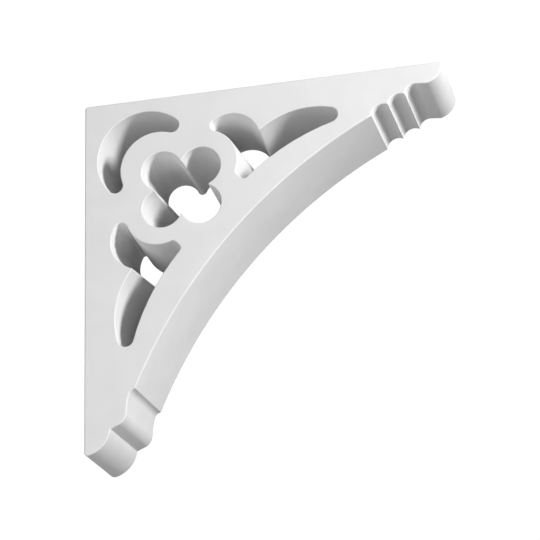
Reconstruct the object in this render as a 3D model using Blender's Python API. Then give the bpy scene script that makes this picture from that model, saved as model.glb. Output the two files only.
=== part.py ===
"""A decorative bracket for the corner between a wall and what it carries, moulded in one piece.

It is a thick square panel with a curved underside. A quatrefoil, a crescent and two leaves go right
through it, and the curve ends in mouldings under the tip and at the foot.

Lengths are in metres. X runs out from the wall, Z is up and the face looks towards -Y. The origin is
the centre of the flat face that meets the wall. Points on the face are (distance out from the wall,
distance down from the top), as they would be marked out on the pattern.
"""

import math

import bmesh
import bpy

# The panel
FACE_WIDTH = 0.6132
FACE_HEIGHT = 0.6128
THICKNESS = 0.1397
TOP_CORNER_RADIUS = 0.005
TIP_CORNER_RADIUS = 0.003
FOOT_CORNER_RADIUS = 0.006
EDGE_ROUNDING = 0.0024

# From face to back each opening closes in by the one and the underside stands out by the other. The
# small lobes of the leaves have more than their share of it, and their cusps less
OPENING_DRAFT = 0.006
UNDERSIDE_DRAFT = 0.0025
LOBE_DRAFT_SHARE = 1.4
CUSP_DRAFT_SHARE = 0.4

# The mouldings under the tip, from its corner inwards: (distance in towards the wall, distance down) of
# each step. The nose reaches the lip, a flat and a cove follow, then two flutes
LIP_STEP = (0.0270, 0.0356)
COVE_FLAT_STEP = (0.0185, -0.0018)
COVE_STEP = (0.0185, 0.0173)
OUTER_FLUTE_STEP = (0.0287, 0.0145)
INNER_FLUTE_STEP = (0.0287, 0.0157)
NOSE_RADIUS = 0.0345
COVE_RADIUS = 0.0185
FLUTE_RADIUS = 0.0192

# The long curve of the underside, between the mouldings
CURVE_RADIUS = 0.8545

# The mouldings at the foot: (distance out from the wall, distance up from the bottom) of each arris. An
# ovolo ends at the notch, a swell and an apron follow, then the ledge where the long curve begins
NOTCH = (0.0446, 0.0412)
SWELL_START = (0.0595, 0.0474)
APRON_START = (0.0711, 0.0658)
LEDGE_START = (0.0769, 0.1010)
CURVE_FOOT = (0.0855, 0.1042)
OVOLO_RADIUS = 0.0490
NOTCH_RADIUS = 0.120
SWELL_RADIUS = 0.0218
APRON_RADIUS = 0.160
LEDGE_RADIUS = 0.0070

# The openings are drawn for a panel of this size, and are larger or smaller with the panel's shorter side
PATTERN_SIZE = 0.6128

# The quatrefoil: four circles about one point, its middle offset from the wall and the top alike, each
# circle as far from it sideways as up or down
MIDDLE_OFFSET = 0.1673
FOIL_OFFSET = 0.0331
FOIL_RADIUS = 0.0346

# The crescent in the corner: outside the crown, a circle round the nearest foil, inside a second circle
CROWN_OFFSET = 0.0403
CROWN_RADIUS = 0.0649
CRESCENT_FROM_EDGES = 0.1055
CRESCENT_RADIUS = 0.0828

# The leaf above: outside the collar, a circle round the next foil, outside the band, inside two lobes and
# inside the flat curve that ends the spur between collar and band
COLLAR_OFFSET = 0.0395
COLLAR_RADIUS = 0.0577
BAND_CENTRE = (0.5308, 0.4486)
BAND_RADIUS = 0.3805
SMALL_LOBE_CENTRE = (0.2523, 0.0966)
SMALL_LOBE_RADIUS = 0.0510
LARGE_LOBE_CENTRE = (0.3884, 0.1894)
LARGE_LOBE_RADIUS = 0.1372
SPUR_CENTRE = (0.2932, 0.1301)
SPUR_RADIUS = 0.0400

# Where two curves of an opening meet it ends round, or a cusp of the panel stands in with a blunt point
CRESCENT_END_RADIUS = 0.0130
LEAF_TIP_RADIUS = 0.0132
LEAF_END_RADIUS = 0.0110
SPUR_CORNER_RADIUS = 0.0066
CUSP_RADIUS = 0.0016
LEAST_RADIUS = 0.0004

# How finely it is drawn
ARC_STEP = math.radians(9)
CURVE_STEPS = 36
ROUNDING_STEPS = 3
CUTTER_MARGIN = 0.006

PAINT_COLOUR = (0.84, 0.84, 0.83, 1.0)
PAINT_ROUGHNESS = 0.5

ROUND_END = 1
CUSP = -1
INSIDE = 1
OUTSIDE = -1


def clear_scene():
    for thing in list(bpy.data.objects):
        bpy.data.objects.remove(thing, do_unlink=True)


def new_collection(name):
    collection = bpy.data.collections.new(name)
    bpy.context.scene.collection.children.link(collection)
    return collection


def paint_material():
    """Smooth white primer on the moulded surface."""
    material = bpy.data.materials.new("white_primer")
    material.use_nodes = True
    shader = material.node_tree.nodes["Principled BSDF"]
    shader.inputs["Base Color"].default_value = PAINT_COLOUR
    shader.inputs["Roughness"].default_value = PAINT_ROUGHNESS
    shader.inputs["Metallic"].default_value = 0.0
    return material


def towards(start, end, distance):
    """The point at a distance from start, in the direction of end."""
    length = math.dist(start, end)
    return tuple(a + (b - a) * distance / length for a, b in zip(start, end))


def on_circle(centre, radius, angle):
    return (centre[0] + radius * math.cos(angle), centre[1] + radius * math.sin(angle))


def angle_from(centre, point):
    return math.atan2(point[1] - centre[1], point[0] - centre[0])


def circles_meet(first, first_radius, second, second_radius, near):
    """Of the two points where the circles cross, the one nearer the point given."""
    apart = math.dist(first, second)
    along = (first_radius ** 2 - second_radius ** 2 + apart ** 2) / (2 * apart)
    aside = math.sqrt(first_radius ** 2 - along ** 2)
    foot = towards(first, second, along)
    across = ((second[1] - first[1]) / apart, (first[0] - second[0]) / apart)
    points = [(foot[0] + sign * aside * across[0], foot[1] + sign * aside * across[1]) for sign in (1, -1)]
    return min(points, key=lambda point: math.dist(point, near))


def turned(first, last, direction):
    """The signed angle turned from the first to the last, going one way round."""
    return direction * ((direction * (last - first)) % math.tau)


def steps_for(sweep):
    return max(2, math.ceil(abs(sweep) / ARC_STEP))


def chord_centre(start, end, radius, direction):
    """The centre of the shorter arc from start to end."""
    half = math.dist(start, end) / 2
    middle = tuple((a + b) / 2 for a, b in zip(start, end))
    rise = math.sqrt(radius ** 2 - half ** 2)
    across = ((start[1] - end[1]) / (2 * half), (end[0] - start[0]) / (2 * half))
    return (middle[0] + direction * rise * across[0], middle[1] + direction * rise * across[1])


def chord_arc(start, end, radius, direction, steps=None):
    """Points on the shorter arc from start to end, without the end."""
    centre = chord_centre(start, end, radius, direction)
    first = angle_from(centre, start)
    sweep = turned(first, angle_from(centre, end), direction)
    steps = steps or steps_for(sweep)
    return [on_circle(centre, radius, first + sweep * k / steps) for k in range(steps)]


def square_corner(corner, radius, first):
    """A quarter circle in a square corner of the panel, from an angle onwards, with both ends."""
    inward = first + math.pi / 4 + math.pi
    centre = on_circle(corner, radius * math.sqrt(2), inward)
    return [on_circle(centre, radius, first + math.pi / 2 * k / 4) for k in range(5)]


def tip_arrises():
    """The arrises under the tip, from the lip of the nose to the start of the long curve."""
    place = (FACE_WIDTH, 0.0)
    arrises = []
    for step in (LIP_STEP, COVE_FLAT_STEP, COVE_STEP, OUTER_FLUTE_STEP, INNER_FLUTE_STEP):
        place = (place[0] - step[0], place[1] + step[1])
        arrises.append(place)
    return arrises


def above_bottom(point):
    return (point[0], FACE_HEIGHT - point[1])


def panel_outline():
    """The panel as it is at its face, from the top corner at the wall round to the foot: (point, moves)
    pairs, where moves is the direction in which the point stands out towards the back."""
    lip, flat, cove, flute, start = tip_arrises()
    end = above_bottom(CURVE_FOOT)
    centre = chord_centre(start, end, CURVE_RADIUS, -1)
    tip_moves = towards((0, 0), (centre[0] - start[0], centre[1] - start[1]), 1)
    foot_moves = towards((0, 0), (centre[0] - end[0], centre[1] - end[1]), 1)

    top_wall = square_corner((0, 0), TOP_CORNER_RADIUS, math.pi)
    top_tip = square_corner((FACE_WIDTH, 0), TIP_CORNER_RADIUS, -math.pi / 2)
    outline = [(point, (0, 0)) for point in top_wall]
    outline += [(point, (tip_moves[0], 0)) for point in top_tip[:-1]]

    tip = chord_arc(top_tip[-1], lip, NOSE_RADIUS, 1) + [lip]
    tip += chord_arc(flat, cove, COVE_RADIUS, -1)
    tip += chord_arc(cove, flute, FLUTE_RADIUS, -1)
    tip += chord_arc(flute, start, FLUTE_RADIUS, -1)
    outline += [(point, tip_moves) for point in tip]

    for point in chord_arc(start, end, CURVE_RADIUS, -1, CURVE_STEPS):
        outline.append((point, towards((0, 0), (centre[0] - point[0], centre[1] - point[1]), 1)))

    bottom_wall = square_corner((0, FACE_HEIGHT), FOOT_CORNER_RADIUS, math.pi / 2)
    ledge, apron, swell, notch = (above_bottom(p) for p in (LEDGE_START, APRON_START, SWELL_START, NOTCH))
    foot = chord_arc(end, ledge, LEDGE_RADIUS, -1)
    foot += chord_arc(ledge, apron, APRON_RADIUS, -1)
    foot += chord_arc(apron, swell, SWELL_RADIUS, 1)
    foot += chord_arc(swell, notch, NOTCH_RADIUS, -1)
    foot += chord_arc(notch, bottom_wall[0], OVOLO_RADIUS, 1)
    outline += [(point, foot_moves) for point in foot]
    outline += [(point, (0, foot_moves[1])) for point in bottom_wall[:-1]]
    outline.append((bottom_wall[-1], (0, 0)))
    return outline


def panel_ring(outline, inset, draft):
    """The panel's outline drawn in by an inset all round, and moved out by the draft."""
    points = [point for point, _ in outline]
    ring = []
    for k, (point, moves) in enumerate(outline):
        into = towards((0, 0), [b - a for a, b in zip(points[k - 1], point)], 1)
        onward = points[(k + 1) % len(points)]
        out = towards((0, 0), [b - a for a, b in zip(point, onward)], 1)
        normal = (-into[1] - out[1], into[0] + out[0])
        reach = inset / (1 + into[0] * out[0] + into[1] * out[1])
        ring.append(tuple(p + n * reach + m * draft for p, n, m in zip(point, normal, moves)))
    return ring


def grown(radius, growth, way, share):
    """A radius where the opening is larger by the growth, or smaller by its share of the draft."""
    return max(radius + way * growth * (share if growth < 0 else 1), LEAST_RADIUS)


def opening_arcs(sides, ends, growth):
    """The arcs round an opening, (centre, radius, first angle, sweep) each. A side is (centre, radius,
    which side of it the opening lies, share of the draft) and the end after it is (radius, kind, near
    which point, share of the draft)."""
    sides = [(centre, grown(radius, growth, lies, share), lies) for centre, radius, lies, share in sides]
    corners = []
    for k, (radius, kind, near, share) in enumerate(ends):
        radius = grown(radius, growth, kind, share)
        this, following = sides[k], sides[(k + 1) % len(sides)]
        reaches = [side[1] - side[2] * kind * radius for side in (this, following)]
        centre = circles_meet(this[0], reaches[0], following[0], reaches[1], near)
        touches = [towards(side[0], centre, side[1]) for side in (this, following)]
        corners.append((centre, radius, kind, touches))

    arcs = []
    for k, (centre, radius, lies) in enumerate(sides):
        end_centre, end_radius, kind, touches = corners[k]
        first = angle_from(centre, corners[k - 1][3][1])
        arcs.append((centre, radius, first, turned(first, angle_from(centre, touches[0]), lies)))
        first = angle_from(end_centre, touches[0])
        sweep = turned(first, angle_from(end_centre, touches[1]), kind)
        arcs.append((end_centre, end_radius, first, sweep))
    return arcs


def opening_ring(sides, ends, growth):
    """Points round an opening that is larger all round by the growth. Their number doesn't change with it."""
    counts = [steps_for(arc[3]) for arc in opening_arcs(sides, ends, 0)]
    ring = []
    for count, (centre, radius, first, sweep) in zip(counts, opening_arcs(sides, ends, growth)):
        ring += [on_circle(centre, radius, first + sweep * k / count) for k in range(count)]
    return ring


def round_foils(offset, x_sign, y_sign):
    """The point as far from the foils' common centre as the offset, both sideways and up or down."""
    return (MIDDLE_OFFSET + x_sign * offset, MIDDLE_OFFSET + y_sign * offset)


def quatrefoil():
    signs = ((-1, -1), (1, -1), (1, 1), (-1, 1))
    sides = [(round_foils(FOIL_OFFSET, x, y), FOIL_RADIUS, INSIDE, 1) for x, y in signs]
    ways = ((0, -1), (1, 0), (0, 1), (-1, 0))
    ends = [(CUSP_RADIUS, CUSP, round_foils(FOIL_OFFSET + FOIL_RADIUS, x, y), 1) for x, y in ways]
    return sides, ends


def crescent():
    far, near = MIDDLE_OFFSET, CRESCENT_FROM_EDGES - CRESCENT_RADIUS / 2
    sides = [
        ((CRESCENT_FROM_EDGES, CRESCENT_FROM_EDGES), CRESCENT_RADIUS, INSIDE, 1),
        (round_foils(CROWN_OFFSET, -1, -1), CROWN_RADIUS, OUTSIDE, 1),
    ]
    ends = [(CRESCENT_END_RADIUS, ROUND_END, point, 1) for point in ((far, near), (near, far))]
    return sides, ends


def upper_leaf():
    sides = [
        (SMALL_LOBE_CENTRE, SMALL_LOBE_RADIUS, INSIDE, LOBE_DRAFT_SHARE),
        (LARGE_LOBE_CENTRE, LARGE_LOBE_RADIUS, INSIDE, 1),
        (BAND_CENTRE, BAND_RADIUS, OUTSIDE, 1),
        (SPUR_CENTRE, SPUR_RADIUS, INSIDE, 1),
        (round_foils(COLLAR_OFFSET, 1, -1), COLLAR_RADIUS, OUTSIDE, 1),
    ]
    ends = [
        (CUSP_RADIUS, CUSP, (SMALL_LOBE_CENTRE[0] + SMALL_LOBE_RADIUS, 0), CUSP_DRAFT_SHARE),
        (LEAF_TIP_RADIUS, ROUND_END, (BAND_CENTRE[0], 0), 1),
        (SPUR_CORNER_RADIUS, ROUND_END, (SPUR_CENTRE[0], BAND_CENTRE[1]), 1),
        (SPUR_CORNER_RADIUS, ROUND_END, (MIDDLE_OFFSET, BAND_CENTRE[1]), 1),
        (LEAF_END_RADIUS, ROUND_END, (MIDDLE_OFFSET, 0), 1),
    ]
    return sides, ends


def fitted(opening):
    """The opening's sides and ends, drawn larger or smaller to go with the panel."""
    scale = min(FACE_WIDTH, FACE_HEIGHT) / PATTERN_SIZE
    sides, ends = opening
    sides = [((x * scale, y * scale), radius * scale, *rest) for (x, y), radius, *rest in sides]
    ends = [(radius * scale, kind, (x * scale, y * scale), share) for radius, kind, (x, y), share in ends]
    return sides, ends


def mirrored(ring):
    """The same points on the other side of the diagonal, in the same order round."""
    return [(y, x) for x, y in reversed(ring)]


def solid(name, layers, collection, material=None):
    """A closed solid through rings of points, each with its depth behind the face."""
    mesh = bpy.data.meshes.new(name)
    shape = bmesh.new()
    rings = []
    for depth, ring in layers:
        y = depth - THICKNESS / 2
        rings.append([shape.verts.new((x, y, FACE_HEIGHT / 2 - down)) for x, down in ring])
    for front, back in zip(rings, rings[1:]):
        for k in range(len(front)):
            shape.faces.new((front[k - 1], front[k], back[k], back[k - 1]))
    shape.faces.new(reversed(rings[0]))
    shape.faces.new(rings[-1])
    bmesh.ops.recalc_face_normals(shape, faces=shape.faces)
    if shape.calc_volume(signed=True) < 0:
        bmesh.ops.reverse_faces(shape, faces=shape.faces)
    shape.to_mesh(mesh)
    shape.free()
    if material:
        mesh.materials.append(material)
    thing = bpy.data.objects.new(name, mesh)
    collection.objects.link(thing)
    return thing


def roundings():
    """(depth behind the face, distance from the edge) of the points on the rounded edge of the face."""
    angles = [math.pi / 2 * k / ROUNDING_STEPS for k in range(ROUNDING_STEPS + 1)]
    return [(EDGE_ROUNDING * (1 - math.cos(a)), EDGE_ROUNDING * (1 - math.sin(a))) for a in angles]


def draft_at(depth, draft):
    return draft * max(0.0, depth - EDGE_ROUNDING) / (THICKNESS - EDGE_ROUNDING)


def panel_layers():
    outline = panel_outline()
    layers = [(depth, panel_ring(outline, inset, 0.0)) for depth, inset in roundings()]
    return layers + [(THICKNESS, panel_ring(outline, 0.0, UNDERSIDE_DRAFT))]


def cutter_layers(opening, flip=False):
    """The cutter for an opening: past the face, round the edge, then drawing in until it is past the back."""
    sides, ends = fitted(opening)
    past = THICKNESS + CUTTER_MARGIN
    growths = [(-CUTTER_MARGIN, EDGE_ROUNDING)] + roundings() + [(past, -draft_at(past, OPENING_DRAFT))]
    layers = []
    for depth, growth in growths:
        ring = opening_ring(sides, ends, growth)
        layers.append((depth, mirrored(ring) if flip else ring))
    return layers


def cut(thing, cutter):
    cutter.hide_render = True
    cutter.display_type = "WIRE"
    modifier = thing.modifiers.new(cutter.name, "BOOLEAN")
    modifier.operation = "DIFFERENCE"
    modifier.solver = "EXACT"
    modifier.object = cutter


def main():
    clear_scene()
    pieces = new_collection("decorative_bracket")
    cutters = new_collection("cutters")
    cutters.hide_render = True

    bracket = solid("bracket", panel_layers(), pieces, paint_material())
    openings = {
        "quatrefoil": cutter_layers(quatrefoil()),
        "crescent": cutter_layers(crescent()),
        "upper_leaf": cutter_layers(upper_leaf()),
        "lower_leaf": cutter_layers(upper_leaf(), flip=True),
    }
    for name, layers in openings.items():
        cut(bracket, solid(name + "_cutter", layers, cutters))


main()
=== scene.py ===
import math

import bpy
from mathutils import Matrix, Vector


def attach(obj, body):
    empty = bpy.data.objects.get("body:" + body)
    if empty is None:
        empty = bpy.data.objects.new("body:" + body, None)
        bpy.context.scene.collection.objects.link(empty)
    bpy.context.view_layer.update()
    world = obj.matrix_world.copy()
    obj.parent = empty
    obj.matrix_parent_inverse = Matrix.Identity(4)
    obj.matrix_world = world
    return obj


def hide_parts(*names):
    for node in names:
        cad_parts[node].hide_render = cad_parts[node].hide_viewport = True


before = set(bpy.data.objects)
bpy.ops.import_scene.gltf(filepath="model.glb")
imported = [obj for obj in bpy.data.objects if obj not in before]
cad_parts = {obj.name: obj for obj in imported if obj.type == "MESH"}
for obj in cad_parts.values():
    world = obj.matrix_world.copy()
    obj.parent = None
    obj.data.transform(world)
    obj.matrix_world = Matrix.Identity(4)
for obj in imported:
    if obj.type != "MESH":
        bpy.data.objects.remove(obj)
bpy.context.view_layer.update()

# Metres throughout. A point on the pattern is (out from the wall, down from the top).
panel = {
    "width": 0.6132,
    "height": 0.6128,
    "thickness": 0.1397,
    "topCorner": 0.005,
    "tipCorner": 0.003,
    "footCorner": 0.006,
    "archRadius": 0.8545,
    "archSteps": 72,
    "backSpread": 0.0025,       # the underside stands out by this at the back
    "easedEdge": 0.0022,
    "easedSteps": 4,
    "arcStep": 4.0,             # degrees of a curve to each face
}

# how near counts as the same place, and how square to the panel counts as flat
mergeWithin = 0.00002
near = 0.00001
flatNormal = 0.9999
smoothAngle = 32
seedSize = 0.01


def onPattern(point, depth=0.0):
    return Vector((point[0], depth - panel["thickness"] / 2, panel["height"] / 2 - point[1]))


def startAt(place):
    # a small plane merged to one point, ready to be extruded and spun
    bpy.ops.object.select_all(action="DESELECT")
    bpy.ops.mesh.primitive_plane_add(size=seedSize, location=place)
    piece = bpy.context.object
    bpy.ops.object.mode_set(mode="EDIT")
    bpy.ops.mesh.select_mode(type="VERT")
    bpy.ops.mesh.select_all(action="SELECT")
    bpy.ops.mesh.merge(type="CENTER")
    return piece


def pullTo(fromPlace, toPlace):
    bpy.ops.mesh.extrude_region_move(TRANSFORM_OT_translate={"value": toPlace - fromPlace})


def spinAbout(centre, sweep, steps=None):
    count = steps or max(2, math.ceil(abs(math.degrees(sweep)) / panel["arcStep"]))
    bpy.ops.mesh.spin(steps=count, angle=sweep, center=onPattern(centre), axis=(0, -1, 0))


def polar(centre, radius, angle):
    return (centre[0] + radius * math.cos(angle), centre[1] + radius * math.sin(angle))


def angleOf(centre, point):
    return math.atan2(point[1] - centre[1], point[0] - centre[0])


def sweepBetween(first, last, way):
    return way * ((way * (last - first)) % math.tau)


def arcBetween(start, end, radius, way):
    # centre and sweep of the shorter arc, way 1 turning clockwise as seen from the front
    half = math.dist(start, end) / 2
    rise = math.sqrt(radius ** 2 - half ** 2)
    across = ((start[1] - end[1]) / (2 * half), (end[0] - start[0]) / (2 * half))
    centre = tuple((a + b) / 2 + way * rise * c for a, b, c in zip(start, end, across))
    return centre, sweepBetween(angleOf(centre, start), angleOf(centre, end), way)


def selectWhere(piece, test, mode="VERT"):
    # picks vertices, edges or faces by place while in edit mode
    bpy.ops.object.mode_set(mode="OBJECT")
    mesh = piece.data
    for items in (mesh.vertices, mesh.edges, mesh.polygons):
        items.foreach_set("select", [False] * len(items))
    items = {"VERT": mesh.vertices, "EDGE": mesh.edges, "FACE": mesh.polygons}[mode]
    for item in items:
        item.select = bool(test(item))
    bpy.ops.object.mode_set(mode="EDIT")
    bpy.ops.mesh.select_mode(type=mode)


def liesAt(piece, depthY):
    points = piece.data.vertices
    return lambda edge: all(abs(points[i].co.y - depthY) < near for i in edge.vertices)


def settle(piece):
    bpy.ops.object.mode_set(mode="OBJECT")
    bpy.ops.object.select_all(action="DESELECT")
    piece.select_set(True)
    bpy.context.view_layer.objects.active = piece
    bpy.ops.object.transform_apply(location=True, rotation=True, scale=True)


# The panel's own outline, with the mouldings at its two ends
tipMoulding = {
    # steps from the top corner: towards the wall, then down
    "lip": (0.0270, 0.0356),
    "coveFlat": (0.0185, -0.0018),
    "cove": (0.0185, 0.0173),
    "outerFlute": (0.0287, 0.0145),
    "innerFlute": (0.0287, 0.0157),
    "noseRadius": 0.0345,
    "coveRadius": 0.0185,
    "fluteRadius": 0.0192,
}
footMoulding = {
    # out from the wall and up from the bottom, then the radius of the curve that follows
    "archFoot": (0.0860, 0.1051),
    "ledge": (0.0755, 0.0948),
    "ledgeRadius": 0.0133,
    "apron": (0.0711, 0.0658),
    "apronRadius": 0.160,
    "swell": (0.0595, 0.0474),
    "swellRadius": 0.0218,
    "notch": (0.0446, 0.0412),
    "notchRadius": 0.120,
    "ovoloRadius": 0.0490,
}


def buildPanel():
    width, height = panel["width"], panel["height"]
    topCorner, tipCorner, footCorner = panel["topCorner"], panel["tipCorner"], panel["footCorner"]
    tip, foot = tipMoulding, footMoulding
    tipPlaces, at = [], (width, 0)
    for name in ("lip", "coveFlat", "cove", "outerFlute", "innerFlute"):
        at = (at[0] - tip[name][0], at[1] + tip[name][1])
        tipPlaces.append(at)
    lip, coveFlat, cove, flute, archStart = tipPlaces
    footNames = ("archFoot", "ledge", "apron", "swell", "notch")
    footPlaces = [(foot[name][0], height - foot[name][1]) for name in footNames]
    archEnd, ledge, apron, swell, notch = footPlaces
    footEnd = (footCorner, height)

    piece = startAt(onPattern((0, topCorner)))
    spinAbout((topCorner, topCorner), math.pi / 2)
    pullTo(onPattern((topCorner, 0)), onPattern((width - tipCorner, 0)))
    spinAbout((width - tipCorner, tipCorner), math.pi / 2)

    spinAbout(*arcBetween((width, tipCorner), lip, tip["noseRadius"], 1))
    pullTo(onPattern(lip), onPattern(coveFlat))
    spinAbout(*arcBetween(coveFlat, cove, tip["coveRadius"], -1))
    spinAbout(*arcBetween(cove, flute, tip["fluteRadius"], -1))
    spinAbout(*arcBetween(flute, archStart, tip["fluteRadius"], -1))

    archCentre, sweep = arcBetween(archStart, archEnd, panel["archRadius"], -1)
    spinAbout(archCentre, sweep, panel["archSteps"])
    spinAbout(*arcBetween(archEnd, ledge, foot["ledgeRadius"], -1))
    spinAbout(*arcBetween(ledge, apron, foot["apronRadius"], -1))
    spinAbout(*arcBetween(apron, swell, foot["swellRadius"], 1))
    spinAbout(*arcBetween(swell, notch, foot["notchRadius"], -1))
    spinAbout(*arcBetween(notch, footEnd, foot["ovoloRadius"], 1))
    spinAbout((footCorner, height - footCorner), math.pi / 2)
    pullTo(onPattern((0, height - footCorner)), onPattern((0, topCorner)))

    bpy.ops.mesh.select_all(action="SELECT")
    bpy.ops.mesh.remove_doubles(threshold=mergeWithin)
    bpy.ops.mesh.edge_face_add()
    bpy.ops.mesh.extrude_region_move(TRANSFORM_OT_translate={"value": (0, panel["thickness"], 0)})
    settle(piece)

    # at the back the underside stands out a little, towards the middle of the long curve
    bpy.ops.object.mode_set(mode="EDIT")
    backY, topZ = panel["thickness"] / 2, panel["height"] / 2

    def onUnderside(vertex):
        x, y, z = vertex.co
        return y > backY - near and x > footCorner - near and z < topZ - tipCorner + near

    selectWhere(piece, onUnderside)
    grow = 1 - panel["backSpread"] / panel["archRadius"]
    middle = onPattern(archCentre)
    bpy.ops.transform.resize(value=(grow, 1, grow), center_override=(middle.x, backY, middle.z))

    # ease the front edge all round, then open both faces so that the openings can be let in
    selectWhere(piece, liesAt(piece, -panel["thickness"] / 2), "EDGE")
    ease, steps = panel["easedEdge"], panel["easedSteps"]
    bpy.ops.mesh.bevel(offset=ease, segments=steps, affect="EDGES", clamp_overlap=False)
    selectWhere(piece, lambda face: abs(face.normal.y) > flatNormal, "FACE")
    bpy.ops.mesh.delete(type="ONLY_FACE")
    bpy.ops.object.mode_set(mode="OBJECT")
    return piece


bracket = buildPanel()
print("panel outline drawn", len(bracket.data.polygons), "faces")

# The openings. Each is a ring of arcs: the section of its eased front edge is spun round one arc after
# another, its back edge likewise, and the wall bridges the two.
opening = {
    "foilMiddle": 0.1673,
    "foilOffset": 0.0331,
    "foilRadius": 0.0346,
    "crownOffset": 0.0403,
    "crownRadius": 0.0649,
    "crescentCentre": 0.1055,
    "crescentRadius": 0.0828,
    "crescentEnd": 0.0130,
    "collarOffset": 0.0395,
    "collarRadius": 0.0577,
    "bandCentre": (0.5308, 0.4486),
    "bandRadius": 0.3805,
    "smallLobe": ((0.2523, 0.0966), 0.0510),
    "largeLobe": ((0.3884, 0.1894), 0.1372),
    "spur": ((0.2932, 0.1301), 0.0400),
    "leafTip": 0.0132,
    "leafEnd": 0.0110,
    "spurCorner": 0.0066,
    "cuspRadius": 0.0019,
    "easedEdge": 0.0016,
    "easedSteps": 4,
    "leastSteps": 3,
    "backInset": 0.006,         # narrower by this all round at the back
    "lobeShare": 1.4,           # times that at the leaves' small lobes
    "cuspShare": 0.4,           # and at their cusps
}


def circlesMeet(first, firstRadius, second, secondRadius, towards):
    apart = math.dist(first, second)
    along = (firstRadius ** 2 - secondRadius ** 2 + apart ** 2) / (2 * apart)
    aside = math.sqrt(firstRadius ** 2 - along ** 2)
    way = ((second[0] - first[0]) / apart, (second[1] - first[1]) / apart)
    foot = (first[0] + way[0] * along, first[1] + way[1] * along)
    both = [(foot[0] + s * way[1] * aside, foot[1] - s * way[0] * aside) for s in (1, -1)]
    return min(both, key=lambda point: math.dist(point, towards))


def arcsRound(sides, ends):
    # sides: (centre, radius, 1 if the opening is inside it or -1, share of the inset)
    # ends: (radius, 1 round end or -1 cusp, a point towards it, share of the inset)
    # gives (centre, sweep) of each arc in turn, and the angle on the first side where the ring starts
    corners = []
    for k, (radius, kind, towards, share) in enumerate(ends):
        pair = (sides[k], sides[(k + 1) % len(sides)])
        reach = [side[1] - side[2] * kind * radius for side in pair]
        centre = circlesMeet(pair[0][0], reach[0], pair[1][0], reach[1], towards)
        corners.append((centre, kind, [angleOf(side[0], centre) for side in pair], pair))
    arcs = []
    for k, (centre, radius, lies, share) in enumerate(sides):
        endCentre, kind, angles, pair = corners[k]
        first = corners[k - 1][2][1]
        arcs.append((centre, sweepBetween(first, angles[0], lies)))
        touch = [polar(side[0], side[1], angle) for side, angle in zip(pair, angles)]
        turns = [angleOf(endCentre, place) for place in touch]
        arcs.append((endCentre, sweepBetween(*turns, kind)))
    return arcs, corners[-1][2][1]


def easedSection():
    # (growth of the opening, depth) from the face round the eased edge
    ease, steps = opening["easedEdge"], opening["easedSteps"]
    angles = [math.pi / 2 * k / steps for k in range(steps + 1)]
    return [(ease * (1 - math.sin(a)), ease * (1 - math.cos(a))) for a in angles]


def spinRound(sides, ends, section, steps, flip):
    # flip mirrors the ring about the panel's diagonal
    arcs, angle = arcsRound(sides, ends)
    centre, radius, lies = sides[0][:3]
    places = [(polar(centre, radius + growth * lies, angle), depth) for growth, depth in section]
    if flip:
        places = [((point[1], point[0]), depth) for point, depth in places]
        arcs = [((middle[1], middle[0]), -sweep) for middle, sweep in arcs]
    places = [onPattern(point, depth) for point, depth in places]
    piece = startAt(places[0])
    for before, after in zip(places, places[1:]):
        pullTo(before, after)
    bpy.ops.mesh.select_all(action="SELECT")
    for (middle, sweep), count in zip(arcs, steps):
        spinAbout(middle, sweep, count)
    bpy.ops.mesh.select_all(action="SELECT")
    bpy.ops.mesh.remove_doubles(threshold=mergeWithin)
    settle(piece)
    return piece


def buildOpening(sides, ends, flip=False):
    sweeps = [abs(math.degrees(sweep)) for centre, sweep in arcsRound(sides, ends)[0]]
    steps = [max(opening["leastSteps"], math.ceil(sweep / panel["arcStep"])) for sweep in sweeps]

    def atBack(radius, way, share):
        return radius - opening["backInset"] * share * way

    backSides = [(centre, atBack(radius, way, share), way, share) for centre, radius, way, share in sides]
    backEnds = [(atBack(radius, kind, share), kind, towards, share) for radius, kind, towards, share in ends]
    piece = spinRound(sides, ends, easedSection(), steps, flip)
    behind = spinRound(backSides, backEnds, [(0.0, panel["thickness"])], steps, flip)
    bpy.ops.object.select_all(action="DESELECT")
    behind.select_set(True)
    piece.select_set(True)
    bpy.context.view_layer.objects.active = piece
    bpy.ops.object.join()
    bpy.ops.object.mode_set(mode="EDIT")
    points = piece.data.vertices
    innerY = opening["easedEdge"] - panel["thickness"] / 2
    selectWhere(piece, lambda edge: all(points[i].co.y > innerY - near for i in edge.vertices), "EDGE")
    bpy.ops.mesh.bridge_edge_loops()
    settle(piece)
    return piece


def roundFoils(offset, outWay, downWay):
    return (opening["foilMiddle"] + outWay * offset, opening["foilMiddle"] + downWay * offset)


def quatrefoil():
    offset, radius = opening["foilOffset"], opening["foilRadius"]
    corners, middles = ((-1, -1), (1, -1), (1, 1), (-1, 1)), ((0, -1), (1, 0), (0, 1), (-1, 0))
    sides = [(roundFoils(offset, a, b), radius, 1, 1) for a, b in corners]
    ends = [(opening["cuspRadius"], -1, roundFoils(offset + radius, a, b), 1) for a, b in middles]
    return sides, ends


def crescent():
    middle = opening["crescentCentre"]
    far, close = opening["foilMiddle"], middle - opening["crescentRadius"] / 2
    crown = (roundFoils(opening["crownOffset"], -1, -1), opening["crownRadius"], -1, 1)
    sides = [((middle, middle), opening["crescentRadius"], 1, 1), crown]
    return sides, [(opening["crescentEnd"], 1, towards, 1) for towards in ((far, close), (close, far))]


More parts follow.
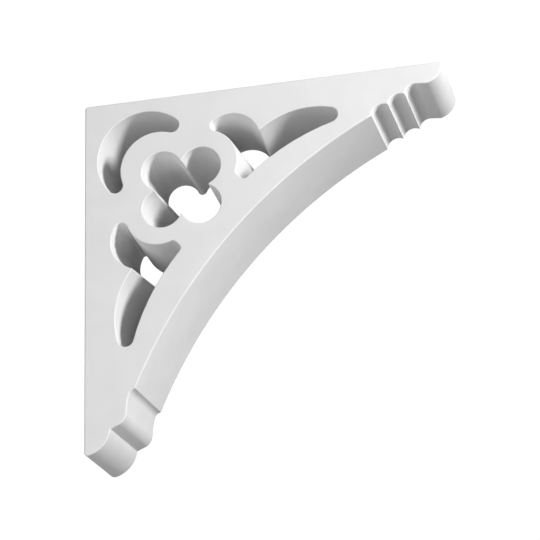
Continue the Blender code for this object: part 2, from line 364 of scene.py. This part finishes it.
def leaf():
    small, large, band = opening["smallLobe"], opening["largeLobe"], opening["bandCentre"]
    collar = (roundFoils(opening["collarOffset"], 1, -1), opening["collarRadius"], -1, 1)
    spur = opening["spur"]
    sides = [
        (*small, 1, opening["lobeShare"]),
        (*large, 1, 1),
        (band, opening["bandRadius"], -1, 1),
        (*spur, 1, 1),
        collar,
    ]
    ends = [
        (opening["cuspRadius"], -1, (small[0][0] + small[1], 0), opening["cuspShare"]),
        (opening["leafTip"], 1, (band[0], 0), 1),
        (opening["spurCorner"], 1, (spur[0][0], band[1]), 1),
        (opening["spurCorner"], 1, (opening["foilMiddle"], band[1]), 1),
        (opening["leafEnd"], 1, (opening["foilMiddle"], 0), 1),
    ]
    return sides, ends


walls = [buildOpening(*shape()) for shape in (quatrefoil, crescent, leaf)]
walls.append(buildOpening(*leaf(), flip=True))
print("walls of the openings spun", [len(wall.data.polygons) for wall in walls])


def letIn(piece, others):
    bpy.ops.object.select_all(action="DESELECT")
    for other in others:
        other.select_set(True)
    piece.select_set(True)
    bpy.context.view_layer.objects.active = piece
    bpy.ops.object.join()
    bpy.ops.object.mode_set(mode="EDIT")
    for side in (-1, 1):
        selectWhere(piece, liesAt(piece, side * panel["thickness"] / 2), "EDGE")
        bpy.ops.mesh.fill(use_beauty=True)
    bpy.ops.mesh.select_all(action="SELECT")
    bpy.ops.mesh.remove_doubles(threshold=mergeWithin)
    bpy.ops.mesh.normals_make_consistent(inside=False)
    # crisp where the flat faces stop, so that they shade flat
    selectWhere(piece, lambda face: abs(face.normal.y) > flatNormal, "FACE")
    bpy.ops.mesh.region_to_loop()
    bpy.ops.mesh.mark_sharp()
    bpy.ops.object.mode_set(mode="OBJECT")
    bpy.ops.object.shade_smooth_by_angle(angle=math.radians(smoothAngle), keep_sharp_edges=True)


letIn(bracket, walls)
bracket.name = bracket.data.name = "mouldedBracket"
print("openings let in", len(bracket.data.polygons), "faces")

# White primer over the moulded skin
primer = {
    "colour": (0.805, 0.805, 0.805, 1.0),
    "shade": (0.765, 0.765, 0.765, 1.0),
    # scale and detail of each noise
    "patches": (16.0, 5.0),     # thicker and thinner primer
    "sheen": (38.0, 3.0),
    "waves": (42.0, 2.0),       # soft unevenness of the cast skin, about 20 mm across
    "grain": (1100.0, 3.0),
    "noiseRoughness": 0.55,
    "noiseSpan": (0.3, 0.7),    # most of what a noise gives lies in this span
    "roughness": (0.42, 0.60),
    "waveHeight": 0.0003,
    "grainHeight": 0.00002,
}


def primerFinish():
    material = bpy.data.materials.new("whitePrimer")
    material.use_nodes = True
    nodes, links = material.node_tree.nodes, material.node_tree.links
    shader = nodes["Principled BSDF"]
    place = nodes.new("ShaderNodeTexCoord")

    def noise(scale, detail):
        node = nodes.new("ShaderNodeTexNoise")
        node.inputs["Scale"].default_value = scale
        node.inputs["Detail"].default_value = detail
        node.inputs["Roughness"].default_value = primer["noiseRoughness"]
        links.new(place.outputs["Object"], node.inputs["Vector"])
        return node.outputs["Fac"]

    def spread(value, low, high):
        node = nodes.new("ShaderNodeMapRange")
        node.inputs["From Min"].default_value = primer["noiseSpan"][0]
        node.inputs["From Max"].default_value = primer["noiseSpan"][1]
        node.inputs["To Min"].default_value = low
        node.inputs["To Max"].default_value = high
        links.new(value, node.inputs["Value"])
        return node.outputs["Result"]

    def bump(height, distance, under=None):
        node = nodes.new("ShaderNodeBump")
        node.inputs["Distance"].default_value = distance
        links.new(height, node.inputs["Height"])
        if under:
            links.new(under, node.inputs["Normal"])
        return node.outputs["Normal"]

    patches = nodes.new("ShaderNodeMix")
    patches.data_type = "RGBA"
    # a colour mix's sockets: 0 is the factor, 6 and 7 are the two colours, and 2 is the result
    patches.inputs[6].default_value = primer["colour"]
    patches.inputs[7].default_value = primer["shade"]
    links.new(spread(noise(*primer["patches"]), 0.0, 1.0), patches.inputs[0])
    links.new(patches.outputs[2], shader.inputs["Base Color"])
    links.new(spread(noise(*primer["sheen"]), *primer["roughness"]), shader.inputs["Roughness"])

    waves = bump(noise(*primer["waves"]), primer["waveHeight"])
    grain = bump(noise(*primer["grain"]), primer["grainHeight"], waves)
    links.new(grain, shader.inputs["Normal"])
    return material


bracket.data.materials.clear()
bracket.data.materials.append(primerFinish())
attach(bracket, "root")
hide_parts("bracket")

# Floor, light and camera
studio = {
    "floorDown": 1.75,
    "floorMiddle": 0.3,
    "floorSize": 14,
    "floorColour": (0.85, 0.85, 0.85, 1),
    "floorShown": (0.74, 0.74, 0.74, 1),
    "floorRoughness": 0.7,
    "white": (1, 1, 1, 1),
    "backdrop": 1.05,
    "ambient": 0.03,
    "aim": (0.25, 0, 0.05),
    "reach": 3.0,
    # turned to the right of the front, raised, diameter, power
    "key": (60, 15, 0.7, 108),
    "front": (-20, -5, 2.6, 20),
    "low": (-40, -20, 2.6, 17),
}

bpy.ops.object.select_all(action="DESELECT")
floorPlace = (studio["floorMiddle"], 0, -studio["floorDown"])
bpy.ops.mesh.primitive_plane_add(size=studio["floorSize"], location=floorPlace)
floor = bpy.context.object
floor.name = "studioFloor"
bpy.ops.object.transform_apply(location=True)
floorFinish = bpy.data.materials.new("paleFloor")
floorFinish.use_nodes = True
floorNodes, floorLinks = floorFinish.node_tree.nodes, floorFinish.node_tree.links
matt = floorNodes["Principled BSDF"]
matt.inputs["Base Color"].default_value = studio["floorColour"]
matt.inputs["Roughness"].default_value = studio["floorRoughness"]
# shown pale all over, as the backdrop is, while the light it throws back is only its own
pale = floorNodes.new("ShaderNodeEmission")
pale.inputs["Color"].default_value = studio["floorShown"]
shown = floorNodes.new("ShaderNodeLightPath")
floorMix = floorNodes.new("ShaderNodeMixShader")
floorLinks.new(shown.outputs["Is Camera Ray"], floorMix.inputs["Fac"])
floorLinks.new(matt.outputs["BSDF"], floorMix.inputs[1])
floorLinks.new(pale.outputs["Emission"], floorMix.inputs[2])
floorLinks.new(floorMix.outputs["Shader"], floorNodes["Material Output"].inputs["Surface"])
floor.data.materials.append(floorFinish)


def softLight(name, turned, raised, size, power):
    aim, reach = Vector(studio["aim"]), studio["reach"]
    side, up = math.radians(turned), math.radians(raised)
    away = Vector((math.sin(side) * math.cos(up), -math.cos(side) * math.cos(up), math.sin(up)))
    bpy.ops.object.light_add(type="AREA", location=aim + away * reach)
    light = bpy.context.object
    light.name = name
    light.data.shape = "DISK"
    light.data.size = size
    light.data.energy = power
    light.rotation_euler = (-away).to_track_quat("-Z", "Y").to_euler()
    return light


for name in ("key", "front", "low"):
    softLight(name + "Light", *studio[name])

world = bpy.context.scene.world or bpy.data.worlds.new("studio")
bpy.context.scene.world = world
world.use_nodes = True
sky = world.node_tree.nodes["Background"]
sky.inputs["Color"].default_value = studio["white"]
sky.inputs["Strength"].default_value = studio["ambient"]
backdrop = world.node_tree.nodes.new("ShaderNodeBackground")
backdrop.inputs["Color"].default_value = studio["white"]
backdrop.inputs["Strength"].default_value = studio["backdrop"]
seen = world.node_tree.nodes.new("ShaderNodeLightPath")
choose = world.node_tree.nodes.new("ShaderNodeMixShader")
world.node_tree.links.new(seen.outputs["Is Camera Ray"], choose.inputs["Fac"])
world.node_tree.links.new(sky.outputs["Background"], choose.inputs[1])
world.node_tree.links.new(backdrop.outputs["Background"], choose.inputs[2])
world.node_tree.links.new(choose.outputs["Shader"], world.node_tree.nodes["World Output"].inputs["Surface"])

view = {
    "from": (1.035285, -3.180447, -1.210079),
    "right": (0.97144746, 0.23566000, -0.02746263),
    "down": (-0.10710084, 0.33229350, -0.93707548),
    "ahead": (-0.21170556, 0.91326086, 0.34804506),
    "lens": 140.75,
    "sensor": 36,
    "clip": (0.05, 60),
}
bpy.ops.object.camera_add()
camera = bpy.context.object
camera.name = "photoCamera"
right, up, back = Vector(view["right"]), -Vector(view["down"]), -Vector(view["ahead"])
turn = Matrix((right, up, back)).transposed().to_4x4()
camera.matrix_world = Matrix.Translation(view["from"]) @ turn
camera.data.sensor_width = view["sensor"]
camera.data.lens = view["lens"]
camera.data.clip_start, camera.data.clip_end = view["clip"]
bpy.context.scene.camera = camera
bpy.context.scene.view_settings.view_transform = "Standard"
print("floor, light and camera set")
